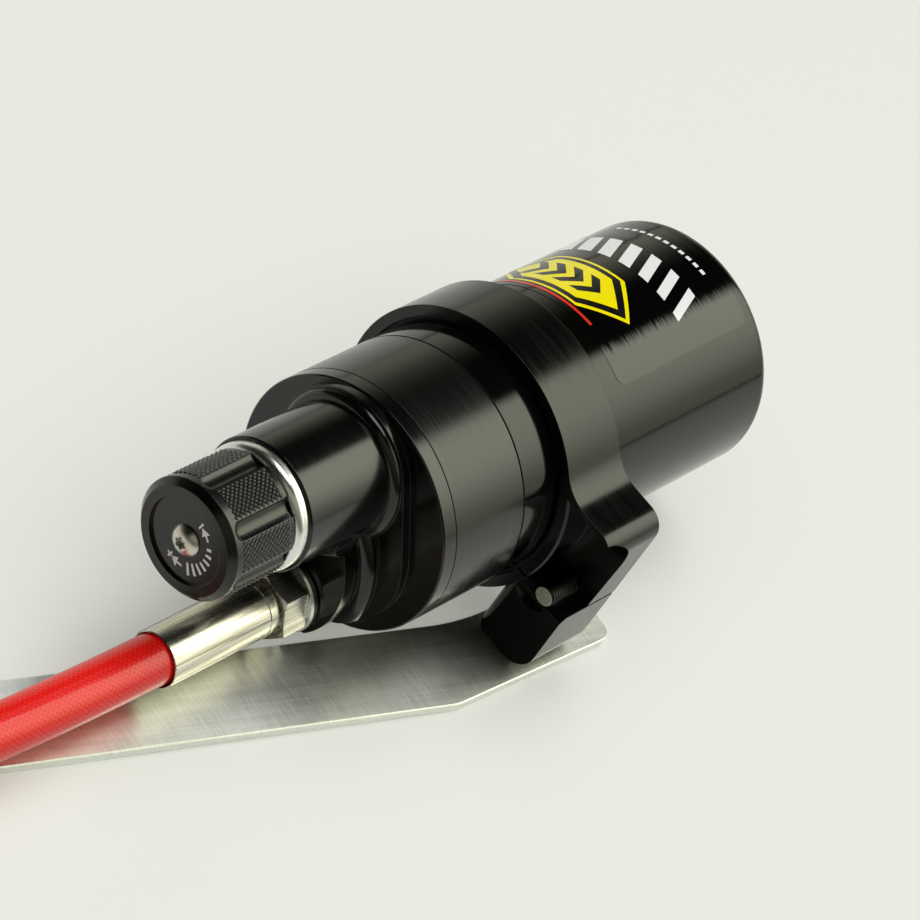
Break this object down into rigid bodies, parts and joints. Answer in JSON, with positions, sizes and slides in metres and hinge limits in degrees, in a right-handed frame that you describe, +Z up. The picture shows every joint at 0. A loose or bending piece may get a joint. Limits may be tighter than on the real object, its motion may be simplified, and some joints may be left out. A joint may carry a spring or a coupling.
{
  "type": "shock absorber reservoir",
  "caption": "Remote oil and gas reservoir of a motorcycle rear shock, with a clicker knob, red hose, clamp and flat mounting bracket.",
  "frame": {"origin": "centre of the bracket's outer mounting hole, at the bracket's underside", "axes": "+X along the reservoir from its knob to its gas valve, +Z up through the mounting hole"},
  "size_m": [0.2756, 0.2013, 0.0613],
  "materials": {
    "black_anodised": "glossy black anodised aluminium",
    "bare_aluminium": "brushed",
    "silver_anodised": "bright turned aluminium",
    "bright_nickel": "bright nickel plate on steel",
    "plated_steel": "zinc plated steel",
    "spring_steel": "hardened steel",
    "black_steel": "black oxide on steel",
    "black_rubber": "matt nitrile rubber",
    "red_hose": "clear red cover over braid",
    "bearing_plastic": "filled low friction plastic",
    "black_plastic": "moulded plastic",
    "valve_brass": "turned brass"
  },
  "bodies": {
    "reservoir": {"bracket_plate": "bare_aluminium", "clamp_body": "black_anodised", "clamp_liner": "black_rubber", "jack_screw": "black_steel", "foot_screws": "plated_steel", "reservoir_head": "black_anodised", "head_oring": "black_rubber", "head_collar": "black_anodised", "reservoir_tube": "black_anodised", "end_cap": "black_anodised", "end_cap_oring": "black_rubber", "end_circlip": "spring_steel", "gas_valve": "valve_brass", "valve_cap": "black_plastic", "adjuster_body": "silver_anodised", "adjuster_oring": "black_rubber", "detent_ball": "spring_steel", "detent_spring": "spring_steel", "valve_piston": "bare_aluminium", "valve_shims": "spring_steel", "valve_nut": "plated_steel", "hose_washer": "plated_steel", "hose_fitting": "bright_nickel", "hose_ferrule": "bright_nickel", "hose": "red_hose", "far_washer": "plated_steel", "far_fitting": "bright_nickel", "far_ferrule": "bright_nickel"},
    "knob": {"comp_knob": "black_anodised", "knob_screw": "plated_steel", "adjuster_shaft": "plated_steel"},
    "needle": {"metering_needle": "plated_steel"},
    "piston": {"floating_piston": "bare_aluminium", "piston_oring": "black_rubber", "piston_band": "bearing_plastic"}
  },
  "joints": [
    {"name": "knob_turn", "type": "hinge", "parent": "reservoir", "child": "knob", "pos_m": [0.07389, -0.00922, 0.04055], "axis": [1, 0, 0], "range_deg": [0, 345]},
    {"name": "needle_feed", "type": "slide", "parent": "reservoir", "child": "needle", "axis": [1, 0, 0], "range_m": [0, 0.00096]},
    {"name": "piston_float", "type": "slide", "parent": "reservoir", "child": "piston", "axis": [1, 0, 0], "range_m": [-0.016, 0.016]}
  ],
  "couplings": [
    {"joint": "needle_feed", "follows": "knob_turn", "m_per_rad": 0.00015915}
  ]
}
